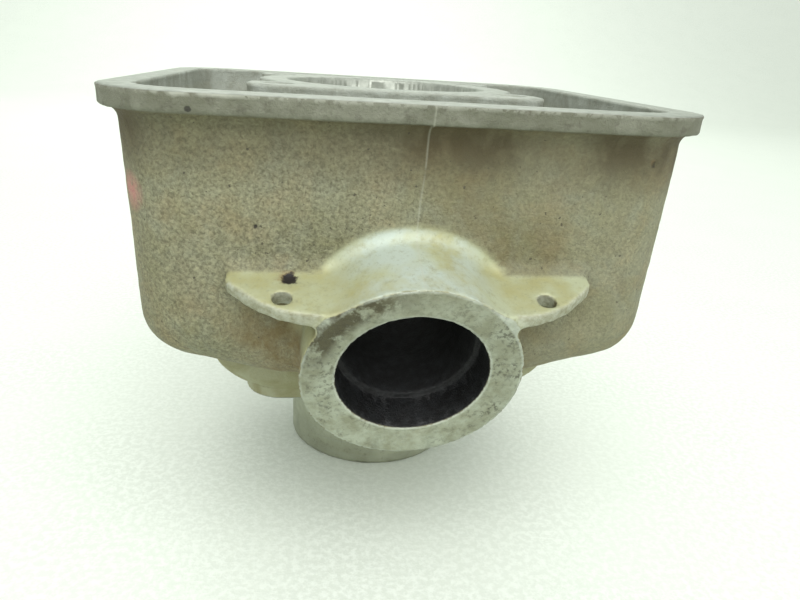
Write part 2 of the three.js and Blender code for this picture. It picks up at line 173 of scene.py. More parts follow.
def jacket(p, inset, edge, keel=0.0):
    """The jacket's block, or the space inside it: drafted walls, and a floor that may fall in the middle."""
    x, y, z = p
    front, back = JACKET.front + inset.front, JACKET.back - inset.back
    lean = np.clip(DECK - z, 0, None) * DRAFT
    radius = JACKET.radius - inset.side
    half_x = JACKET.half - inset.side - lean
    half_y = (back - front) / 2 - lean
    plan = box2(x, y - (front + back) / 2, half_x, half_y, radius)
    fall = np.clip((KEEL.reach - np.abs(x)) / (KEEL.reach - KEEL.half), 0, 1)
    fall = fall * fall * (3 - 2 * fall)
    floor = JACKET.floor + inset.floor - keel * fall
    return meet(plan, floor - z, edge)


def transfer_body(p):
    """The flared hollow between the base flange and the jacket, which holds the transfer passages."""
    x, y, z = p
    foot = BASE + BASE_PLATE.thickness - 1
    flare = np.sin(np.clip((z - foot) / (BODY.shoulder - foot), 0, 1) * math.pi / 2) ** BODY.fullness
    foot_x = BASE_PLATE.half - BODY.inset
    foot_y = BASE_PLATE.depth - BODY.inset
    half_x = foot_x + (BODY.half - foot_x) * flare
    half_y = foot_y + (BODY.depth - foot_y) * flare
    sides = box2(x, y, half_x, half_y, BASE_PLATE.radius)
    return np.maximum(sides * BODY.slope, slab(z, BASE, JACKET.floor + 4))


def bezier(a, b, c, count=5):
    """Points of a curve from a to c that is drawn towards b, without a itself."""
    t = np.linspace(0, 1, count)[1:, None]
    return ((1 - t) ** 2 * np.array(a) + 2 * t * (1 - t) * np.array(b) + t * t * np.array(c)).tolist()


tip = EAR.tip
EAR_OUTLINE = [[0, 0.6], [EAR.root, 0.6]]
EAR_OUTLINE += bezier((EAR.root, 0.6), (34, 1.5), (40.5, 8.5))
EAR_OUTLINE += [[tip - 1.6, 11.4]] + bezier((tip - 1.6, 11.4), (tip + 1.4, 14.2), (tip - 0.8, 17.5))
EAR_OUTLINE += [[tip - 0.8, EAR.reach], [0, EAR.reach]]


def near(p, low, high, margin, field):
    """A field worked out only near its own box; further away the distance to the box stands for it."""
    q = [np.maximum(low[i] - p[i], p[i] - high[i]) for i in range(3)]
    away = np.maximum(np.maximum(q[0], q[1]), q[2])
    close = away < margin
    out = np.maximum(away, margin)
    if close.any():
        out[close] = field([c[close] for c in p])
    return out


def ears(p):
    """The spigot's two drilled ears, as one plate across its top."""

    def field(q):
        x, back, up = duct_axes(q)
        plan = polygon(np.abs(x), back, EAR_OUTLINE)
        middle = EAR.level + EAR.thickness / 2
        return meet(plan, np.abs(up - middle) - EAR.thickness / 2, EAR.edge)

    return near(p, *EAR_BOX, EAR_MARGIN, field)


def rim_plate(x, y, z):
    """The flange round the top of the jacket."""
    middle = (RIM.front + RIM.back) / 2
    plan = box2(x, y - middle, RIM.half, (RIM.back - RIM.front) / 2, RIM.radius)
    return meet(plan, DECK - RIM.thickness - z, EDGE.rim)


def foot_plate(x, y, z):
    """The flange that sits on the crankcase."""
    plan = box2(x, y, BASE_PLATE.half, BASE_PLATE.depth, BASE_PLATE.radius)
    return meet(plan, slab(z, BASE, BASE + BASE_PLATE.thickness), EDGE.plate)


def outer_shape(p):
    """The outside of the casting, before anything is cut from it."""
    x, y, z = p
    none = Named(side=0, front=0, back=0, floor=0)
    shape = jacket(p, none, JACKET.edge, JACKET.floor - KEEL.level)
    shape = blend(shape, transfer_body(p), FILLET.body)
    ax, back, up = duct_axes(p)
    tube = meet(duct_tube(ax, up), slab(back, 0, DUCT.length), EDGE.duct)
    tube = blend(tube, ears(p), FILLET.ear)
    shape = blend(shape, tube, FILLET.duct)
    for fitting in (NIPPLE, DRAIN):
        around = length(x - fitting.x, z - fitting.z) - fitting.boss
        boss = meet(around, slab(y, JACKET.back - BOSS.root, BOSS.face), EDGE.boss)
        shape = blend(shape, boss, FILLET.boss)
    shape = blend(shape, rim_plate(x, y, z), FILLET.rim)
    shape = blend(shape, foot_plate(x, y, z), FILLET.plate)
    shape = meet(shape, z - DECK, EDGE.cut)
    return meet(shape, -back, EDGE.cut)


def cores(p):
    """The posts inside the water space: the cylinder with its stud columns, the duct and the passages."""
    x, y, z = p
    post = length(x, y) - ISLAND.radius
    bar_y = ISLAND.depth - ISLAND.bar / 2
    bars = box2(x, np.abs(y) - bar_y, ISLAND.half, ISLAND.bar / 2, ISLAND.corner)
    post = blend(post, bars, FILLET.bars)
    ax, back, up = duct_axes(p)
    tube = np.maximum(duct_tube(ax, up), slab(back, 0, DUCT.length))
    post = blend(post, tube, FILLET.core_duct)
    wall = TRANSFER.wall
    sides = box2(x, y, TRANSFER.reach + wall, TRANSFER.half + wall, TRANSFER.corner)
    passages = meet(sides, z - TRANSFER.top - wall, EDGE.core)
    return blend(post, passages, FILLET.core)


def cut_passages(shape, p):
    """The cylinder's bore, the exhaust, the side passages and the boost passage."""
    x, y, z = p
    radius = length(x, y)
    shape = carve(shape, radius - BORE, EDGE.cast)
    shape = carve(shape, np.maximum(radius - RECESS, RECESS_FLOOR - z), EDGE.cut)
    ax, back, up = duct_axes(p)
    across = length(ax, up)
    inner = EDGE.socket
    throat = meet(across - SOCKET.throat, back - DUCT.length + DUCT.end_wall, inner)
    shape = carve(shape, throat, inner)
    shape = carve(shape, meet(across - SOCKET.radius, back - SOCKET.depth, inner), EDGE.cast)
    passage = box2(x, y, TRANSFER.reach, TRANSFER.half, TRANSFER.corner)
    shape = carve(shape, meet(passage, z - TRANSFER.top, EDGE.transfer), EDGE.cast)
    middle = BOOST.middle
    boost = box2(x, y - middle, BOOST.half, BOOST.reach - middle, BOOST.corner)
    return carve(shape, meet(boost, z - TRANSFER.top, EDGE.boost), EDGE.cast)


def cut_holes(shape, p):
    """The stud holes with the dowels' seats, the ears' holes and the holes of the two fittings."""
    x, y, z = p
    stud = length(np.abs(x) - STUD.x, np.abs(y) - STUD.y)
    shape = carve(shape, stud - STUD.radius, EDGE.cast)
    seat = meet(stud - DOWEL_SEAT.radius, z - BASE - DOWEL_SEAT.depth, EDGE.seat)
    shape = carve(shape, np.where(y > 0, seat, NOTHING_CUT), EDGE.cut)
    ax, back, up = duct_axes(p)
    hole = length(np.abs(ax) - EAR_HOLE.x, back - EAR_HOLE.back) - EAR_HOLE.radius
    hole = np.maximum(hole, slab(up, EAR_HOLE.low, EAR_HOLE.high))
    shape = carve(shape, hole, EDGE.ear_hole)
    for fitting in (NIPPLE, DRAIN):
        around = length(x - fitting.x, z - fitting.z) - fitting.hole
        shape = carve(shape, np.maximum(around, BOSS.hole_end - y), EDGE.cut)
    return shape


def casting(p):
    """Distance to the casting's surface, with the passages, holes and machined faces cut."""
    water = jacket(p, WALL, JACKET.edge - WALL.side)
    water = carve(water, cores(p), FILLET.water)
    shape = carve(outer_shape(p), water, EDGE.cast)
    return cut_holes(cut_passages(shape, p), p)


# ---- meshing ----

BLOCK = 60000


def evaluate(field, points):
    """The field at many points, in blocks that fit the cache."""
    out = np.empty(len(points))
    for start in range(0, len(points), BLOCK):
        part = points[start:start + BLOCK]
        out[start:start + BLOCK] = field([part[:, 0], part[:, 1], part[:, 2]])
    return out


def gradient(field, points, step=0.08):
    """Unit normals of the field and its slope, from its values at four points round each."""
    k = np.array([[1, -1, -1], [-1, -1, 1], [-1, 1, -1], [1, 1, 1]], float)
    g = sum(evaluate(field, points + step * d)[:, None] * d for d in k)
    return g / np.maximum(np.linalg.norm(g, axis=1), 1e-9)[:, None], np.linalg.norm(g, axis=1) / (4 * step)


def surface_cells(field, low, high, size, levels):
    """Indices of the smallest cells that the surface may cross, found by splitting larger ones."""
    step = size * 2 ** levels
    counts = np.ceil((np.array(high) - low) / step).astype(int)
    cells = np.stack(np.meshgrid(*[np.arange(c) for c in counts], indexing="ij"), -1).reshape(-1, 3)
    for level in range(levels + 1):
        step = size * 2 ** (levels - level)
        value = evaluate(field, (cells + 0.5) * step + low)
        cells = cells[np.abs(value) < step * 1.25 + 0.3]
        if level < levels:
            corners = np.stack(np.meshgrid([0, 1], [0, 1], [0, 1], indexing="ij"), -1).reshape(-1, 3)
            cells = (cells[:, None] * 2 + corners).reshape(-1, 3)
    return cells


def surface_net(field, low, high, size, levels=3):
    """Points and quads of the field's zero surface, on a grid of the given cell size."""
    low = np.array(low, float)
    cells = surface_cells(field, low, high, size, levels)
    span = int(cells.max()) + 4

    def key(c):
        return ((c[:, 0] + 1) * span + c[:, 1] + 1) * span + c[:, 2] + 1

    corners = np.array([[i >> 2 & 1, i >> 1 & 1, i & 1] for i in range(8)])
    corner_cells = (cells[:, None] + corners).reshape(-1, 3)
    unique, where = np.unique(key(corner_cells), return_inverse=True)
    first = np.zeros(len(unique), int)
    first[where] = np.arange(len(where))
    value = evaluate(field, corner_cells[first] * size + low)[where].reshape(-1, 8)
    crossed = (value < 0).any(1) & (value >= 0).any(1)
    cells, value = cells[crossed], value[crossed]
    order = np.argsort(key(cells))
    cells, value = cells[order], value[order]
    keys = key(cells)
    total = np.zeros((len(cells), 3))
    count = np.zeros(len(cells))
    for a in range(8):
        for axis in range(3):
            bit = 4 >> axis
            if a & bit:
                continue
            va, vb = value[:, a], value[:, a | bit]
            cut = (va < 0) != (vb < 0)
            t = va[cut] / (va[cut] - vb[cut])
            at = np.repeat(corners[a][None].astype(float), cut.sum(), 0)
            at[:, axis] += t
            total[cut] += at
            count[cut] += 1
    points = (cells + total / count[:, None]) * size + low
    quads = []
    for axis in range(3):
        bit = 4 >> axis
        u, v = (axis + 1) % 3, (axis + 2) % 3
        cut = (value[:, 0] < 0) != (value[:, bit] < 0)
        base = cells[cut]
        inward = value[cut, 0] < 0
        ring = []
        for du, dv in ((0, 0), (-1, 0), (-1, -1), (0, -1)):
            c = base.copy()
            c[:, u] += du
            c[:, v] += dv
            at = np.searchsorted(keys, key(c))
            at = np.minimum(at, len(keys) - 1)
            ring.append(np.where(keys[at] == key(c), at, -1))
        ring = np.stack(ring, 1)
        ring[~inward] = ring[~inward, ::-1]
        quads.append(ring[(ring >= 0).all(1)])
    return points, np.concatenate(quads)


def settle(field, points, size, rounds=3):
    """Moves the points onto the surface, never further than a cell."""
    start = points.copy()
    for _ in range(rounds):
        normal, slope = gradient(field, points)
        shift = evaluate(field, points) / np.maximum(slope, 0.4)
        points = points - normal * np.clip(shift, -size, size)[:, None]
        moved = points - start
        far = np.maximum(np.linalg.norm(moved, axis=1) / (size * 0.9), 1)
        points = start + moved / far[:, None]
    return points


# ---- skin of the casting ----

def lattice(points, scale, seed):
    """Smooth noise from -1 to 1, with bumps of about the given size."""
    q = points / scale + seed * 17.31
    base = np.floor(q).astype(np.int64)
    f = q - base
    f = f * f * f * (f * (f * 6 - 15) + 10)
    total = np.zeros(len(points))
    for corner in range(8):
        offset = np.array([corner >> 2 & 1, corner >> 1 & 1, corner & 1])
        i = base + offset
        mixed = (i[:, 0] * 73856093) ^ (i[:, 1] * 19349663) ^ (i[:, 2] * 83492791) ^ (seed * 40503)
        mixed = (mixed ^ (mixed >> 13)) * 1274126177
        value = ((mixed ^ (mixed >> 16)) & 0xFFFF) / 32767.5 - 1
        weight = np.prod(np.where(offset, f, 1 - f), axis=1)
        total += value * weight
    return total


def ramp(value, low, high):
    """From 0 at low to 1 at high, easing in and out."""
    t = np.clip((value - low) / (high - low), 0, 1)
    return t * t * (3 - 2 * t)


def bump(distance, width):
    """One at no distance, falling away over the width."""
    return np.exp(-(distance / width) ** 2)


def zones(points, normal):
    """How strongly each look holds at every point, from 0 to 1, and "seam": how far the parting line is."""
    x, y, z = points.T
    ax, back, up = duct_axes([x, y, z])
    outside = length(ax, up + DUCT.drop)
    face = normal @ np.array([0, -math.cos(TILT), -math.sin(TILT)])
    front = (y < -40).astype(float)
    ring = (np.abs(back) < 0.3).astype(float)
    zone = Named()
    over_ear = ramp(up, EAR.level + 1.5, EAR.level + 3.2) * ramp(normal[:, 2], 0.25, 0.6)
    on_ear = over_ear * (1 - ramp(back, 15.5, 17.5)) * ramp(EAR.tip + 1.5 - np.abs(ax), 0, 1.5)
    tube = ramp(DUCT.outer + 3.6 - outside, 0, 1.9) * ramp(-y, 76, 79)
    zone.skin = front * np.maximum(on_ear, tube * ramp(up, 1, 9)) * (1 - ring)
    zone.pale = front * tube * ramp(up, 8, 25) * ramp(24 - np.abs(ax), 0, 14) * (1 - ring)
    plate_edge = (np.abs(ax) > 23) & (back < 13) & (up > EAR.level - 1.5) & (up < EAR.level + 4.9)
    zone.scraped = plate_edge * ramp(face, 0.1, 0.45) * (1 - ring)
    wall = front * ramp(-y, 66, 74) * (1 - np.clip(zone.skin + ring, 0, 1))
    patches = 0.5 + 0.5 * lattice(points, 22.0, 5)
    # under the rim: a brown stain mixed with painted shade, deepening towards the rim's overhang
    under = ramp(z, 106, 122) * (z < DECK - RIM.thickness + 0.6)
    zone.stain = under * (0.5 + 0.5 * ramp(patches, 0.2, 0.6)) * (y < -60)
    # darker amber low on the front wall, more to the left and round the spigot's root: painted shade, with
    # random amber patches added below
    low = ramp(-z, -90, -72) * ramp(50 - np.abs(x), 0, 22)
    low = low * (0.55 + 0.45 * ramp(-x, -20, 10)) * wall
    zone.amber = np.clip(low + 0.35 * wall * ramp(patches, 0.62, 0.9), 0, 1)
    zone.grainy = wall * ramp(-x, -25, 25)
    water_edge = JACKET.edge - WALL.side
    in_water = evaluate(lambda p: jacket(p, WALL, water_edge), points) < 0.4
    zone.inside = ((z > 64) & in_water).astype(float)
    zone.body = ramp(-z, -63, -58) * (np.abs(y) < 55)
    zone.worked = np.maximum(ring, (z > DECK - 0.3) | (z < BASE + 0.3) | (length(x, y) < RECESS + 0.3))
    across = length(ax, up)
    bore = (across < SOCKET.radius + 0.3) & (back > 0) & (back < DUCT.length)
    zone.worked = np.maximum(zone.worked, bore)
    zone.seam = np.where((y < -70) & (up > 10), x - seam_line(z), RIM.half)
    return zone


PITS = (
    # x, y, z, radius, depth, darkness, rust
    (-30.2, -84.8, 89.7, 2.0, 0.5, 1.0, 0.7),
    (58.5, -80.7, 119.0, 0.8, 0.9, 0.95, 0.3),
    (-51.2, -87.0, 127.4, 0.6, 0.4, 0.7, 0.0),
    (-38.0, -81.0, 101.0, 0.6, 0.5, 0.9, 0.0),
    (3.0, -87.0, 93.9, 0.5, 0.3, 0.8, 0.0),
    (23.2, -87.0, 131.0, 0.9, 0.6, 0.0, 0.0),
    (-50.3, -87.0, 131.0, 0.9, 0.6, 0.0, 0.0),
)

# how far the rust lies from its pit, the middle of the smear, and where the rim's front edge is worn
RUST_SHIFT = (-0.7, 0.2, 0.6)
SMEAR = (-67.3, -73.2, 107.0)
WORN_EDGE = (-60.0, -38.0)


def seam_line(z):
    """Where the parting line of the mould crosses the front at each height."""
    return 0.4 + 0.044 * (z - 100.5) + 0.2 * lattice(np.stack([z * 0, z * 0, z], 1), 9.0, 7)


def skin_relief(points, zone):
    """How far the surface stands out from the plain shape: unevenness, the parting line, scrapes and pits."""
    x, y, z = points.T
    _, back, up = duct_axes([x, y, z])
    cast = (1 - zone.worked) * ramp(back, 0.3, 2.5) * ramp(DECK - z, 0.3, 1.6)
    relief = cast * (0.16 * lattice(points, 17.0, 1) + 0.07 * lattice(points, 4.2, 2) - 0.2)
    relief += cast * (1 - zone.skin) * (0.05 + 0.035 * zone.grainy) * lattice(points, 1.5, 3)
    relief += zone.scraped * (0.12 * lattice(points, 2.6, 4) + 0.04 * lattice(points, 1.2, 6) - 0.1)
    from_seam = x - seam_line(z)
    on_front = (y < -70) * (up > 10) * cast
    relief += bump(from_seam, 0.55) * on_front * (0.34 - 0.2 * zone.skin)
    step = ramp(from_seam, -0.4, 0.4) * np.exp(-np.abs(from_seam) / 9) * on_front
    relief += 0.16 * step * (1 - zone.skin)
    relief += 0.22 * bump(x, 0.6) * (y > 52) * cast
    for px, py, pz, radius, depth, _, _ in PITS:
        relief -= depth * bump(length(x - px, y - py, z - pz), radius)
    return relief


def make_mesh(name, points, faces):
    mesh = bpy.data.meshes.new(name)
    mesh.vertices.add(len(points))
    mesh.vertices.foreach_set("co", np.ascontiguousarray(points, np.float32).ravel())
    mesh.loops.add(faces.size)
    mesh.loops.foreach_set("vertex_index", faces.astype(np.int32).ravel())
    mesh.polygons.add(len(faces))
    mesh.polygons.foreach_set("loop_start", np.arange(0, faces.size, faces.shape[1], dtype=np.int32))
    mesh.update(calc_edges=True)
    mesh.validate()
    mesh.shade_smooth()
    return mesh


def place(points):
    """From millimetres about the cylinder axis to metres in the frame of the CAD model."""
    return (points + np.array([AXIS_X, AXIS_Y, 0])) * MM


def unplace(points):
    """From metres in the frame of the CAD model to millimetres about the cylinder axis."""
    return points / MM - np.array([AXIS_X, AXIS_Y, 0])


def add_object(name, data):
    """A new object in the scene that shows the mesh, light or camera."""
    piece = bpy.data.objects.new(name, data)
    bpy.context.scene.collection.objects.link(piece)
    return piece


def vertex_array(mesh):
    out = np.empty(len(mesh.vertices) * 3, np.float32)
    mesh.vertices.foreach_get("co", out)
    return out.reshape(-1, 3).astype(float)


def thinned(mesh, triangles):
    """The mesh with its flat parts in fewer, larger faces."""
    faces = sum(len(p.vertices) - 2 for p in mesh.polygons)
    holder = add_object("thinning", mesh)
    modifier = holder.modifiers.new("thin", "DECIMATE")
    modifier.ratio = min(1.0, triangles / faces)
    shaped = holder.evaluated_get(bpy.context.evaluated_depsgraph_get())
    result = bpy.data.meshes.new_from_object(shaped)
    bpy.data.objects.remove(holder)
    result.shade_smooth()
    return result


# the grid's cell, where the grid starts in front, and how deep and how far out edges and corners are felt for
CAST_CELL = 0.8
CAST_TRIANGLES = 198000
CAST_FRONT = -105
PROBE_IN = 0.8
PROBE_OUT = 3.0


def within_cad(points):
    """The points, in metres, moved into the CAD casting's box where the unevenness took them out of it."""
    return np.clip(points, cast_low, cast_high)


def write_attribute(mesh, name, value):
    layer = mesh.attributes.new(name, "FLOAT", "POINT")
    layer.data.foreach_set("value", np.asarray(value, np.float32))


def build_casting():
    """The casting's mesh, with the zones and how sharp its edges and corners are as attributes."""
    low = (-RIM.half - 3, CAST_FRONT, BASE - 3)
    high = (RIM.half + 3, BOSS.face + 3, DECK + 3)
    points, quads = surface_net(casting, low, high, CAST_CELL)
    points = settle(casting, points, CAST_CELL)
    normal, _ = gradient(casting, points)
    relief = skin_relief(points, zones(points, normal))
    points = points + normal * relief[:, None]
    mesh = thinned(make_mesh("barrel_skin", within_cad(place(points)), quads), CAST_TRIANGLES)
    points = within_cad(vertex_array(mesh))
    mesh.vertices.foreach_set("co", points.astype(np.float32).ravel())
    points = unplace(points)
    normal, _ = gradient(casting, points)
    for name, value in vars(zones(points, normal)).items():
        write_attribute(mesh, name, value)
    inward = -evaluate(casting, points - normal * PROBE_IN) / PROBE_IN
    outward = evaluate(casting, points + normal * PROBE_OUT) / PROBE_OUT
    write_attribute(mesh, "worn", ramp(1 - inward, 0.2, 0.6))
    # cranny: how closely other surfaces crowd the point; the colour darkens with it as painted shade in
    # corners and crevices
    write_attribute(mesh, "cranny", ramp(1 - outward, 0.05, 0.6))
    return add_object("barrel_skin", mesh)


# ---- materials ----

class Nodes:
    """Builds a material's node tree in few words."""

    def __init__(self, name):
        self.material = bpy.data.materials.new(name)
        self.material.use_nodes = True
        self.tree = self.material.node_tree
        self.tree.nodes.clear()
        self.output = self.tree.nodes.new("ShaderNodeOutputMaterial")
        self.shader = self.tree.nodes.new("ShaderNodeBsdfPrincipled")
        self.tree.links.new(self.shader.outputs[0], self.output.inputs[0])
        self.where = self.tree.nodes.new("ShaderNodeTexCoord").outputs["Object"]

    def link(self, value, socket):
        if isinstance(value, bpy.types.NodeSocket):
            self.tree.links.new(value, socket)
        elif isinstance(value, (tuple, list)) and len(value) == 3 and socket.type == "RGBA":
            socket.default_value = (*value, 1)
        else:
            socket.default_value = value

    def node(self, kind, *values, **named):
        """A new node, with its inputs given in order or by name."""
        node = self.tree.nodes.new("ShaderNode" + kind)
        for key, value in [*enumerate(values), *named.items()]:
            self.link(value, node.inputs[key])
        return node

    def attribute(self, name):
        node = self.node("Attribute")
        node.attribute_name = name
        return node.outputs["Fac"]

    def stretched(self, scale):
        return self.node("Mapping", Vector=self.where, Scale=scale).outputs[0]

    def noise(self, size_mm, detail=3.0, rough=0.55, where=None, distortion=0.0):
        size = dict(Vector=where or self.where, Scale=1000.0 / size_mm)
        node = self.node("TexNoise", Detail=detail, Roughness=rough, Distortion=distortion, **size)
        return node.outputs["Fac"]

    def span(self, value, low, high, to_low=0.0, to_high=1.0):
        """The value from low to high, stretched to the other two limits and held there."""
        return self.node("MapRange", value, low, high, to_low, to_high).outputs[0]

    def math(self, operation, *values):
        node = self.node("Math", *values)
        node.operation = operation
        return node.outputs[0]

    def mix(self, amount, a, b, kind="MIX"):
        """Two colours mixed; a Mix node takes its colours at inputs 6 and 7."""
        node = self.node("Mix", amount)
        node.data_type = "RGBA"
        node.blend_type = kind
        self.link(a, node.inputs[6])
        self.link(b, node.inputs[7])
        return node.outputs[2]

    def mix_value(self, amount, a, b):
        node = self.node("Mix", amount)
        self.link(a, node.inputs[2])
        self.link(b, node.inputs[3])
        return node.outputs[0]

    def relief(self, height, distance_mm, strength=1.0, after=None):
        node = self.node("Bump", Height=height, Strength=strength, Distance=distance_mm * MM)
        if after is not None:
            self.link(after, node.inputs["Normal"])
        return node.outputs[0]

    def local(self, origin_mm, tilt=0.0):
        """Coordinates in millimetres from a point given about the cylinder axis, tilted about x."""
        origin = place(np.array(origin_mm)).tolist()
        turn = dict(Rotation=(tilt, 0, 0), Scale=(MM, MM, MM))
        node = self.node("Mapping", Vector=self.where, Location=origin, **turn)
        node.vector_type = "TEXTURE"
        return self.node("SeparateXYZ", node.outputs[0]).outputs

    def length(self, *values):
        size = self.node("VectorMath", self.node("CombineXYZ", *values).outputs[0])
        size.operation = "LENGTH"
        return size.outputs["Value"]

    def product(self, *values):
        total = values[0]
        for value in values[1:]:
            total = self.math("MULTIPLY", total, value)
        return total

    def finish(self, **sockets):
        for name, value in sockets.items():
            self.link(value, self.shader.inputs[name.replace("_", " ")])
        return self.material


CAST = Named(
    olive=(0.2, 0.196, 0.112), light_olive=(0.258, 0.252, 0.163), grey_green=(0.236, 0.248, 0.18),
    tan=(0.252, 0.192, 0.096), streak=(0.165, 0.15, 0.09), dark_grit=(0.34, 0.32, 0.27),
    light_grit=(1.5, 1.5, 1.48), amber=(0.16, 0.112, 0.038), stain=(0.07, 0.053, 0.022),
    speck=(0.05, 0.042, 0.03), lower_tan=(0.29, 0.285, 0.15), lower_cream=(0.41, 0.42, 0.28),
    inner_grey=(0.34, 0.36, 0.3), inner_light=(0.5, 0.54, 0.48), corner_dirt=(0.46, 0.38, 0.25),
    scraped_dark=(0.27, 0.27, 0.175), scraped_light=(0.44, 0.46, 0.36), seam=(0.46, 0.47, 0.38),
    chip=(0.5, 0.53, 0.45), deck_grey=(0.26, 0.28, 0.24), deck_light=(0.39, 0.415, 0.36),
    soot=(0.01, 0.01, 0.01), soot_grey=(0.022, 0.024, 0.025), rust=(0.19, 0.1, 0.035),
    pit=(0.014, 0.011, 0.01), smear=(0.6, 0.2, 0.2),
)
FLANGE = Named(
    grey=(0.15, 0.155, 0.108), light=(0.215, 0.222, 0.168), mottle=(0.085, 0.08, 0.055),
    grain=(0.12, 0.12, 0.09),
)
SMOOTH = Named(
    cream=(0.375, 0.368, 0.185), light=(0.42, 0.452, 0.295), pale=(0.445, 0.51, 0.44),
    mark=(0.27, 0.265, 0.15), vein=(0.22, 0.23, 0.16),
)
RING = Named(
    grey=(0.255, 0.265, 0.185), silver=(0.385, 0.415, 0.325), upper=(0.175, 0.18, 0.12),
    deposit=(0.07, 0.062, 0.032), pit=(0.06, 0.058, 0.038), outer_edge=(0.5, 0.54, 0.46),
    inner_edge=(0.58, 0.62, 0.54),
)


def cast_colour(n, zone, fine, patch):
    """The sand-cast skin: olive grey with tan and grey patches, a fine dark grain, a brown stain under the
    rim mixed with painted shade that deepens towards the rim, amber painted shade low on the front wall with
    random amber patches, and dark specks.
    """
    cloud = n.span(n.noise(30, 3, 0.6), 0.36, 0.64)
    colour = n.mix(cloud, CAST.olive, CAST.light_olive)
    colour = n.mix(n.product(n.span(patch, 0.42, 0.72), 0.7), colour, CAST.grey_green)
    tan = n.span(n.noise(14, 4, 0.65), 0.5, 0.75)
    colour = n.mix(n.product(tan, 0.5), colour, CAST.tan)
    streaks = n.noise(7, 4, 0.7, where=n.stretched((1.0, 1.0, 0.35)))
    colour = n.mix(n.product(n.span(streaks, 0.52, 0.7), 0.4), colour, CAST.streak)
    grit = n.mix(n.span(fine, 0.33, 0.67), CAST.dark_grit, CAST.light_grit)
    colour = n.mix(n.mix_value(zone.grainy, 0.42, 0.68), colour, grit, "MULTIPLY")
    # amber painted shade low on the front wall, with random amber patches
    amber = n.product(zone.amber, n.span(n.noise(5, 4, 0.6), 0.28, 0.6), 0.8)
    colour = n.mix(amber, colour, CAST.amber)
    # brown stain and painted shade under the rim
    stain = n.product(zone.stain, n.span(patch, 0.3, 0.55, 0.6, 1.0), 0.9)
    colour = n.mix(stain, colour, CAST.stain)
    specks = n.span(n.noise(1.3, 2, 0.5), 0.71, 0.74)
    return n.mix(n.product(specks, 0.75), colour, CAST.speck)


def flange_colour(n, patch, fine):
    """The rim's edge: greyer than the walls, with dark mottling."""
    colour = n.mix(n.span(patch, 0.4, 0.62), FLANGE.grey, FLANGE.light)
    dark = n.span(n.noise(3.0, 4, 0.7), 0.53, 0.68)
    colour = n.mix(n.product(dark, 0.65), colour, FLANGE.mottle)
    return n.mix(n.span(fine, 0.35, 0.66, 0.4, 0.0), colour, FLANGE.grain)


def smooth_colour(n, zone):
    """The smoother skin over the spigot and on top of the ears: cream with a pale blue-green middle."""
    cloud = n.noise(12, 4, 0.6)
    colour = n.mix(n.span(cloud, 0.38, 0.62), SMOOTH.cream, SMOOTH.light)
    pale = n.product(zone.pale, n.span(n.noise(11, 4, 0.6), 0.3, 0.56))
    colour = n.mix(pale, colour, SMOOTH.pale)
    marks = n.span(n.noise(2.4, 4, 0.7), 0.54, 0.74, 0.0, 0.6)
    colour = n.mix(marks, colour, SMOOTH.mark)
    veins = n.span(n.noise(0.9, 3, 0.6), 0.58, 0.72, 0.0, 0.4)
    return n.mix(veins, colour, SMOOTH.vein)


def ring_colour(n, x, up, across):
    """The spigot's machined face: dull silver, pitted, with painted shade that darkens it towards its top,
    and a dark deposit over its upper left.
    """
    cloud = n.span(n.noise(5.0, 4, 0.6), 0.36, 0.62)
    colour = n.mix(cloud, RING.grey, RING.silver)
    # painted shade: the face darker towards its top
    colour = n.mix(n.span(up, -20.0, 24.0, 0.0, 0.45), colour, RING.upper)
    angle = n.math("ARCTAN2", up, x)
    arc = n.product(n.span(angle, 1.55, 2.0), n.span(angle, 2.75, 3.1, 1.0, 0.0))
    outer = n.span(across, SOCKET.radius + 1.6, SOCKET.radius + 4.2)
    ragged = n.span(n.noise(4.0, 5, 0.7), 0.38, 0.5)
    colour = n.mix(n.product(arc, outer, ragged, 0.95), colour, RING.deposit)
    sides = n.span(n.math("ABSOLUTE", x), 6.0, 20.0, 0.3, 1.0)
    clusters = n.span(n.noise(6.0, 4, 0.65), 0.44, 0.62)
    pits = n.span(n.noise(1.15, 3, 0.65), 0.5, 0.6)
    colour = n.mix(n.product(pits, clusters, sides, 0.7), colour, RING.pit)
    outside = n.length(x, n.math("ADD", up, DUCT.drop), 0.0)
    outer_edge = n.span(outside, DUCT.outer - 0.9, DUCT.outer - 0.4)
    bright = n.product(outer_edge, n.span(n.noise(6.0, 3, 0.6), 0.35, 0.6), 0.7)
    colour = n.mix(bright, colour, RING.outer_edge)
    inner_edge = n.span(across, SOCKET.radius + 0.9, SOCKET.radius + 0.3, 0.0, 0.6)
    return n.mix(inner_edge, colour, RING.inner_edge)


def add_pits(n, colour):
    """Dark spots in the skin's holes, each with a rusty halo."""
    wobble = n.span(n.noise(1.8, 3, 0.6), 0.3, 0.7, -0.35, 0.35)
    for *centre, radius, _, darkness, rust in PITS:
        rim = [at + shift for at, shift in zip(centre, RUST_SHIFT)]
        around = n.math("ADD", n.length(*n.local(rim)), n.product(wobble, radius))
        halo = n.span(around, radius * 0.7, radius * 1.4, rust, 0.0)
        colour = n.mix(halo, colour, CAST.rust)
        away = n.math("ADD", n.length(*n.local(centre)), n.product(wobble, radius))
        hole = n.span(away, radius * 0.85, radius * 1.2, darkness, 0.0)
        colour = n.mix(hole, colour, CAST.pit)
    return colour


def add_smear(n, colour):
    """A faint reddish smear on the left wall."""
    away = n.length(*n.local(SMEAR))
    ragged = n.span(n.noise(2.5, 4, 0.6), 0.3, 0.5)
    return n.mix(n.product(n.span(away, 1.5, 5.5, 0.5, 0.0), ragged), colour, CAST.smear)


def machined_mask(n, x, y, z):
    """The faces cut by a machine: the deck, the foot, and the bore with the recess over it."""
    radius = n.length(x, y, 0.0)
    top = n.span(z, DECK - 0.32, DECK - 0.16)
    foot = n.span(z, BASE + 0.16, BASE + 0.32, 1.0, 0.0)
    inner = n.span(radius, RECESS + 0.2, RECESS + 0.4, 1.0, 0.0)
    turned = n.product(inner, n.span(z, BASE, BASE + 0.3))
    return n.math("MAXIMUM", top, n.math("MAXIMUM", foot, turned))


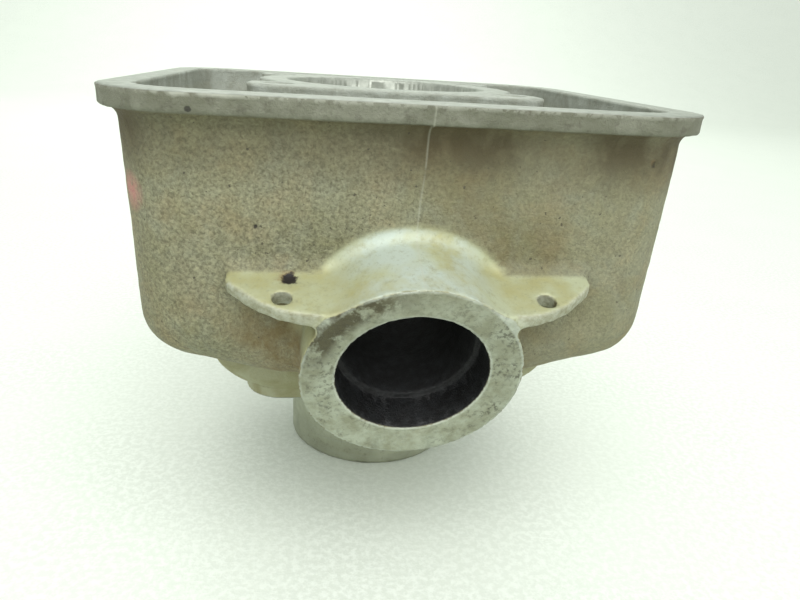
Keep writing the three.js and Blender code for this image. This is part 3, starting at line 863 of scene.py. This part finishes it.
def throat_mask(n, back, across):
    """The wall of the exhaust passage, as far as the duct is long."""
    inner = n.span(across, SOCKET.radius + 0.1, SOCKET.radius + 0.32, 1.0, 0.0)
    end = DUCT.length - DUCT.end_wall
    along = n.product(n.span(back, 0.2, 0.5), n.span(back, end - 2, end, 1.0, 0.0))
    return n.product(inner, along)


def chips_mask(n, zone, x, y, ring):
    """Bare metal where edges are worn, most of all along the left of the rim's front edge."""
    left, right = WORN_EDGE
    rubbed = n.product(n.span(x, left - 1, left + 2), n.span(x, right - 4, right, 1.0, 0.0))
    rubbed = n.product(rubbed, n.span(y, RIM.front + 0.5, RIM.front + 1.5, 1.0, 0.0))
    worn_from = n.mix_value(rubbed, 0.48, 0.2)
    patchy = n.math("GREATER_THAN", n.noise(2.2, 4, 0.7), worn_from)
    return n.product(zone.worn, patchy, n.mix_value(ring, n.mix_value(rubbed, 0.5, 0.9), 0.0))


def zoned_colour(n, zone, z, patch, fine):
    """The casting's colour before it is worn and machined: each zone's own over the plain skin's."""
    colour = cast_colour(n, zone, fine, patch)
    flange = n.span(z, DECK - RIM.thickness - 0.2, DECK - RIM.thickness + 0.5)
    colour = n.mix(flange, colour, flange_colour(n, patch, fine))
    body = n.mix(n.span(patch, 0.38, 0.64), CAST.lower_tan, CAST.lower_cream)
    colour = n.mix(n.product(zone.body, 0.75), colour, body)
    hollow = n.mix(n.span(patch, 0.4, 0.65), CAST.inner_grey, CAST.inner_light)
    colour = n.mix(n.product(zone.inside, 0.8), colour, hollow)
    colour = n.mix(zone.skin, colour, smooth_colour(n, zone))
    # painted shade and brown dirt in corners and crevices, deepest where other surfaces crowd in
    colour = n.mix(n.product(zone.cranny, 0.5), colour, CAST.corner_dirt, "MULTIPLY")
    scrape = n.span(n.noise(1.9, 4, 0.65), 0.36, 0.64)
    silver = n.mix(scrape, CAST.scraped_dark, CAST.scraped_light)
    colour = n.mix(n.product(zone.scraped, 0.8), colour, silver)
    on_seam = n.span(n.math("ABSOLUTE", zone.seam), 0.05, 0.35, 0.3, 0.0)
    return n.mix(n.product(on_seam, n.span(patch, 0.3, 0.5)), colour, CAST.seam)


def cast_roughness(n, zone, fine, back, bare, throat):
    """Dull on the cast skin, smoother on bare metal, sooty deep in the throat."""
    cut = n.span(n.noise(1.4, 3, 0.6), 0.3, 0.7, 0.32, 0.5)
    rough = n.mix_value(bare, n.span(fine, 0.3, 0.7, 0.6, 0.85), cut)
    rough = n.mix_value(zone.skin, rough, 0.48)
    sooty = n.span(back, SOCKET.depth - 1, SOCKET.depth + 2, 0.42, 0.75)
    return n.mix_value(throat, rough, sooty)


def cast_normal(n, zone, fine, bare, ring):
    """Sand grain on the skin, pocks in the spigot's face, and fine tool lines on bare metal."""
    grain = n.noise(0.5, 2, 0.6, distortion=0.8)
    sand = n.math("ADD", n.product(fine, 0.7), n.product(grain, 0.5))
    calm = n.math("SUBTRACT", 1.0, n.math("MAXIMUM", n.product(zone.skin, 0.8), bare))
    normal = n.relief(sand, 0.42, calm)
    pocks = n.product(n.span(n.noise(1.15, 3, 0.65), 0.5, 0.6), ring)
    normal = n.relief(pocks, -0.12, 0.8, normal)
    lines = n.noise(0.35, 2, 0.5, where=n.stretched((1.0, 0.04, 1.0)))
    return n.relief(lines, 0.03, n.product(bare, 0.6), normal)


MASKS = ("skin", "pale", "scraped", "stain", "amber", "grainy", "inside", "body", "seam", "worn", "cranny")


def cast_material():
    n = Nodes("cast_aluminium")
    zone = Named(**{name: n.attribute(name) for name in MASKS})
    x, y, z = n.local((0, 0, 0))
    ax, back, up = n.local((0, DUCT.y, DUCT.z), TILT)
    across = n.length(ax, 0.0, up)
    patch = n.noise(9, 4, 0.6, distortion=0.6)
    fine = n.noise(0.85, 3, 0.65, distortion=0.5)
    ring = n.span(back, 0.25, 0.42, 1.0, 0.0)
    throat = throat_mask(n, back, across)
    machined = machined_mask(n, x, y, z)
    chips = chips_mask(n, zone, x, y, ring)
    bare = n.math("MAXIMUM", n.math("MAXIMUM", machined, ring), chips)
    colour = zoned_colour(n, zone, z, patch, fine)
    colour = n.mix(n.product(chips, 0.8), colour, CAST.chip)
    colour = add_smear(n, add_pits(n, colour))
    deck = n.mix(n.span(n.noise(3.0, 3, 0.6), 0.3, 0.7), CAST.deck_grey, CAST.deck_light)
    colour = n.mix(machined, colour, deck)
    colour = n.mix(ring, colour, ring_colour(n, ax, up, across))
    dark = n.mix(n.span(n.noise(2.5, 3, 0.6), 0.4, 0.7), CAST.soot, CAST.soot_grey)
    colour = n.mix(throat, colour, dark)
    metal = n.mix_value(throat, n.mix_value(bare, 0.2, 0.55), 0.25)
    rough = cast_roughness(n, zone, fine, back, bare, throat)
    normal = cast_normal(n, zone, fine, bare, ring)
    return n.finish(Base_Color=colour, Metallic=metal, Roughness=rough, Normal=normal)


IRON = Named(
    grey=(0.3, 0.315, 0.225), light=(0.44, 0.465, 0.35), speck=(0.085, 0.075, 0.05),
    tool_line=(0.36, 0.38, 0.33),
)


def iron_material():
    n = Nodes("liner_iron")
    turned = n.noise(0.5, 2, 0.5, where=n.stretched((0.02, 0.02, 1.0)))
    cloud = n.noise(14, 4, 0.6)
    colour = n.mix(n.span(cloud, 0.35, 0.65), IRON.grey, IRON.light)
    colour = n.mix(n.span(n.noise(1.3, 4, 0.7), 0.56, 0.75, 0.0, 0.6), colour, IRON.speck)
    colour = n.mix(n.product(n.span(turned, 0.4, 0.7), 0.35), colour, IRON.tool_line)
    rough = n.span(n.noise(3, 3, 0.6), 0.3, 0.7, 0.36, 0.58)
    normal = n.relief(turned, 0.04, 0.8)
    normal = n.relief(n.noise(0.9, 3, 0.6), 0.05, 0.5, normal)
    return n.finish(Base_Color=colour, Metallic=0.7, Roughness=rough, Normal=normal)


def turned_material(name, light, dark, metallic, low, high):
    """Turned metal between two colours, with its roughness from low to high."""
    n = Nodes(name)
    cloud = n.noise(4.0, 4, 0.65)
    colour = n.mix(n.span(cloud, 0.38, 0.66), dark, light)
    colour = n.mix(n.span(n.noise(0.8, 3, 0.7), 0.6, 0.78, 0.0, 0.5), colour, tuple(c * 0.35 for c in dark))
    lines = n.noise(0.3, 2, 0.5, where=n.stretched((0.15, 1.0, 0.15)))
    rough = n.span(n.noise(2.0, 3, 0.6), 0.3, 0.7, low, high)
    normal = n.relief(lines, 0.03, 0.7)
    return n.finish(Base_Color=colour, Metallic=metallic, Roughness=rough, Normal=normal)


PALE = Named(shade=(0.665, 0.72, 0.645), light=(0.765, 0.82, 0.75), cloud=(0.73, 0.785, 0.71))


def floor_material():
    n = Nodes("pale_floor")
    speck = n.noise(2.1, 2, 0.7)
    colour = n.mix(n.span(speck, 0.42, 0.62), PALE.shade, PALE.light)
    colour = n.mix(n.span(n.noise(60, 2, 0.5), 0.35, 0.65, 0.0, 0.5), colour, PALE.cloud)
    normal = n.relief(speck, 0.35, 0.5)
    return n.finish(Base_Color=colour, Roughness=0.42, Normal=normal)


# ---- the liner, in millimetres ----

LINER = Named(
    bore=27.0, outer=30.7, flange=32.4, flange_height=5.0, top=liner_high.z / MM,
    skirt_flare=1.2, mouth_flare=0.5, cell=1.0, triangles=70000,
)
STROKE = 54.0
STROKE_FLOOR = liner_high.z / MM - STROKE
PEG_HOLE = Named(radius=1.8, depth=8.0)

# each port's width, height and corner; the transfer ports look this many degrees off sideways
EXHAUST_PORT = (36, 26, 3.5)
BOOST_PORT = (18, 14, 3)
TRANSFER_PORT = (15, 14, 3)
TRANSFER_TURN = 18


def liner_shape(p):
    """The iron sleeve with its collar, its ports and the hole for the peg."""
    x, y, z = p
    radius = length(x, y)
    top = LINER.top
    sleeve = meet(radius - LINER.outer, slab(z, 0, top), 0.9)
    collar = meet(radius - LINER.flange, slab(z, top - LINER.flange_height, top), 0.35)
    shape = np.minimum(sleeve, collar)
    inner = LINER.bore + LINER.skirt_flare * ramp(-z, -3, 0)
    inner = inner + LINER.mouth_flare * ramp(z, top - 0.6, top)
    shape = carve(shape, radius - inner, 0.25)
    ports = [(0, -1, *EXHAUST_PORT), (0, 1, *BOOST_PORT)]
    for turn in (-TRANSFER_TURN, TRANSFER_TURN):
        c, s = math.cos(math.radians(turn)), math.sin(math.radians(turn))
        ports += [(c, s, *TRANSFER_PORT), (-c, s, *TRANSFER_PORT)]
    for dx, dy, width, height, corner in ports:
        along = x * dx + y * dy
        side = x * dy - y * dx
        opening = box2(side, z - STROKE_FLOOR - height / 2, width / 2, height / 2, corner)
        shape = carve(shape, np.maximum(opening, 12 - along), 0.5)
    peg_low, peg_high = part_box("liner_peg")
    peg_at = (peg_low.y + peg_high.y) / 2 / MM - AXIS_Y
    below = 10 * (z < top - PEG_HOLE.depth)
    return carve(shape, length(x, y - peg_at) - PEG_HOLE.radius + below, 0.2)


def build_liner():
    reach = LINER.flange + 2
    low, high = (-reach, -reach, -3), (reach, reach, LINER.top + 3)
    points, quads = surface_net(liner_shape, low, high, LINER.cell)
    points = settle(liner_shape, points, LINER.cell)
    points[:, 2] = np.clip(points[:, 2], 0, LINER.top)
    radius = length(points[:, 0], points[:, 1])
    points[:, :2] *= np.minimum(1, LINER.flange / radius)[:, None]
    mesh = thinned(make_mesh("liner_sleeve", place(points), quads), LINER.triangles)
    return add_object("liner_sleeve", mesh)


# ---- fittings, in millimetres ----

HOSE_TAIL = Named(length=20.0, bore=4.5, outer=6.3, shank=6.2, flats=7.9, corners=10.1, head=6.0)
BARBS = Named(starts=(9.0, 14.5), radius=7.5, slope=0.21, length=5.0)
PLUG = Named(head=4.5, shank=3.7, flats=5.6, corners=6.35, chamfer_from=3.4)
RUN_IN = 1.0


def hexagon(u, v, flats):
    """Distance to a hexagon with the given distance from its middle to its flats."""
    c, s = math.cos(math.pi / 3), math.sin(math.pi / 3)
    return np.maximum(np.abs(u), np.maximum(np.abs(u * c + v * s), np.abs(u * c - v * s))) - flats


def node_box(name):
    """A CAD node's box in millimetres about the cylinder axis."""
    low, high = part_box(name)
    return unplace(np.array([low, high], float))


def fitting_axes(p, node, proud):
    """A fitting's own axes: across, height, along from where it stands proud, and where its shank starts."""
    low, high = node_box(node)
    x, z = p[0] - (low[0] + high[0]) / 2, p[2] - (low[2] + high[2]) / 2
    return x, z, p[1] - (high[1] - proud), low[1] - high[1] + proud


def nipple_shape(p):
    """The coolant hose tail: a threaded shank, a hexagon and a tube with two barbs."""
    size = HOSE_TAIL
    x, z, along, start = fitting_axes(p, "coolant_nipple", size.length)
    radius = length(x, z)
    shank = meet(radius - size.shank, slab(along, start, RUN_IN), 0.6)
    head = meet(hexagon(x, z, size.flats), slab(along, 0, size.head), 0.25)
    head = meet(head, radius + np.abs(along - size.head / 2) * 0.5 - size.corners, 0.2)
    tube = meet(radius - size.outer, slab(along, 0, size.length), 0.4)
    shape = blend(np.minimum(shank, head), tube, 0.8)
    for start in BARBS.starts:
        barb = radius - BARBS.radius + (along - start) * BARBS.slope
        barb = meet(barb * 0.95, slab(along, start, start + BARBS.length), 0.25)
        shape = np.minimum(shape, barb)
    return carve(shape, radius - size.bore, 0.4)


def plug_shape(p):
    """The drain plug: a threaded shank and a hexagon with its outer corners turned off."""
    size = PLUG
    x, z, along, start = fitting_axes(p, "drain_plug", size.head)
    radius = length(x, z)
    shank = meet(radius - size.shank, slab(along, start, RUN_IN), 0.5)
    head = meet(hexagon(x, z, size.flats), slab(along, 0, size.head), 0.25)
    turned = np.maximum(along - size.chamfer_from, 0) * 0.9
    head = meet(head, radius + turned - size.corners, 0.2)
    return np.minimum(shank, head)


def ring_shape(name, axis, wall):
    """A flat or long ring with rounded edges that fills the box of a CAD node."""
    low, high = node_box(name)
    u, v = [i for i in range(3) if i != axis]

    def shape(p):
        radius = length(p[u] - (low[u] + high[u]) / 2, p[v] - (low[v] + high[v]) / 2)
        outer = (high[v] - low[v]) / 2
        block = meet(radius - outer, slab(p[axis], low[axis], high[axis]), 0.35)
        return carve(block, radius - outer + wall, 0.3)

    return shape


# how far inside its CAD node's box a fitting stays
SLACK = 1e-4


def build_fitting(name, node, shape, cell, triangles):
    low, high = node_box(node)
    points, quads = surface_net(shape, low - 1.5, high + 1.5, cell, 2)
    points = np.clip(settle(shape, points, cell), low + SLACK, high - SLACK)
    piece = add_object(name, thinned(make_mesh(name, place(points), quads), triangles))
    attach(piece, "root")
    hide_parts(node)
    return piece


def cover(piece, material):
    piece.data.materials.clear()
    piece.data.materials.append(material)


def dress(piece, material, slot):
    cover(piece, material)


iron = iron_material()
steel = turned_material("steel", (0.50, 0.50, 0.47), (0.30, 0.30, 0.27), 0.9, 0.28, 0.45)
brass = turned_material("brass", (0.62, 0.45, 0.19), (0.40, 0.28, 0.12), 0.9, 0.25, 0.45)
soft_metal = turned_material("washer", (0.62, 0.62, 0.58), (0.42, 0.42, 0.38), 0.85, 0.35, 0.55)

barrel = build_casting()
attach(barrel, "root")
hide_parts(*CAST_NODES)
dress(barrel, cast_material(), "cast_aluminium")

sleeve = build_liner()
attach(sleeve, "root")
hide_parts("cylinder_liner")
dress(sleeve, iron, "liner_iron")

nipple = build_fitting("nipple_body", "coolant_nipple", nipple_shape, 0.5, 16000)
dress(nipple, brass, "brass")
plug = build_fitting("plug_body", "drain_plug", plug_shape, 0.4, 8000)
dress(plug, steel, "steel")
for name, node, axis, wall, metal, slot in (
    ("nipple_seal", "coolant_nipple_washer", 1, 3.3, soft_metal, "washer"),
    ("plug_seal", "drain_plug_washer", 1, 2.8, soft_metal, "washer"),
    ("dowel_left", "base_dowel_rear_left", 2, 1.5, steel, "steel"),
    ("dowel_right", "base_dowel_rear_right", 2, 1.5, steel, "steel"),
):
    dress(build_fitting(name, node, ring_shape(node, axis, wall), 0.4, 6000), metal, slot)
cover(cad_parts["liner_peg"], steel)

# ---- floor, light and camera, in metres and degrees ----

FLOOR = Named(length=3.0, bend=1.2, top=4.0)
KEY = dict(at=(0.04, -0.76, 1.02), towards=(0.0, -0.10, 0.0), size=1.3, power=13.2)
BACK = dict(at=(0.0, 1.3, 1.1), towards=(0.0, 1.6, 0.2), size=1.6, power=13.0)
SKY = Named(colour=(0.98, 1.0, 0.97, 1), strength=0.93)
VIEW = Named(sensor=36, lens=29.9, angles=(8.62, 20.37, 3.63), at_mm=(-26.2, -235.8, 141.1))


def build_floor():
    """A floor that sweeps up behind the part."""
    ground = cad_box[0].z
    reach, bend = FLOOR.length, FLOOR.bend
    rows = [(-reach, 0.0), (reach / 2, 0.0)]
    for angle in np.linspace(0, math.pi / 2, 16)[1:]:
        rows.append((reach / 2 + bend * math.sin(angle), bend * (1 - math.cos(angle))))
    rows.append((reach / 2 + bend, FLOOR.top))
    points = np.array([(x, y, z + ground) for y, z in rows for x in (-reach * 1.5, reach * 1.5)])
    faces = np.array([(2 * i, 2 * i + 1, 2 * i + 3, 2 * i + 2) for i in range(len(rows) - 1)])
    floor = add_object("floor", make_mesh("floor", points, faces))
    floor.data.materials.append(floor_material())


def build_light(name, at, towards, size, power):
    data = bpy.data.lights.new(name, "AREA")
    data.shape = "DISK"
    data.size = size
    data.energy = power
    light = add_object(name, data)
    light.location = at
    light.rotation_mode = "QUATERNION"
    light.rotation_quaternion = (Vector(towards) - Vector(at)).to_track_quat("-Z", "Y")


def build_world():
    world = bpy.data.worlds.new("studio")
    bpy.context.scene.world = world
    world.use_nodes = True
    background = world.node_tree.nodes["Background"]
    background.inputs["Color"].default_value = SKY.colour
    background.inputs["Strength"].default_value = SKY.strength


def build_camera():
    """The photograph's viewpoint: above the exhaust spigot and a little to its left, looking down."""
    data = bpy.data.cameras.new("camera")
    data.sensor_width = VIEW.sensor
    data.lens = VIEW.lens
    data.clip_start = 0.01
    camera = add_object("camera", data)
    yaw, pitch, roll = (math.radians(a) for a in VIEW.angles)
    ahead = Vector((math.sin(yaw) * math.cos(pitch), math.cos(yaw) * math.cos(pitch), -math.sin(pitch)))
    right = Vector((math.cos(yaw), -math.sin(yaw), 0))
    down = ahead.cross(right)
    across = math.cos(roll) * right - math.sin(roll) * down
    below = math.sin(roll) * right + math.cos(roll) * down
    at = Vector(place(np.array(VIEW.at_mm)))
    columns = Matrix((across, -below, -ahead)).transposed().to_4x4()
    camera.matrix_world = Matrix.Translation(at) @ columns
    bpy.context.scene.camera = camera


build_floor()
build_world()
build_light("key", **KEY)
build_light("back", **BACK)
build_camera()
bpy.context.scene.view_settings.view_transform = "Standard"
bpy.context.scene.view_settings.look = "None"
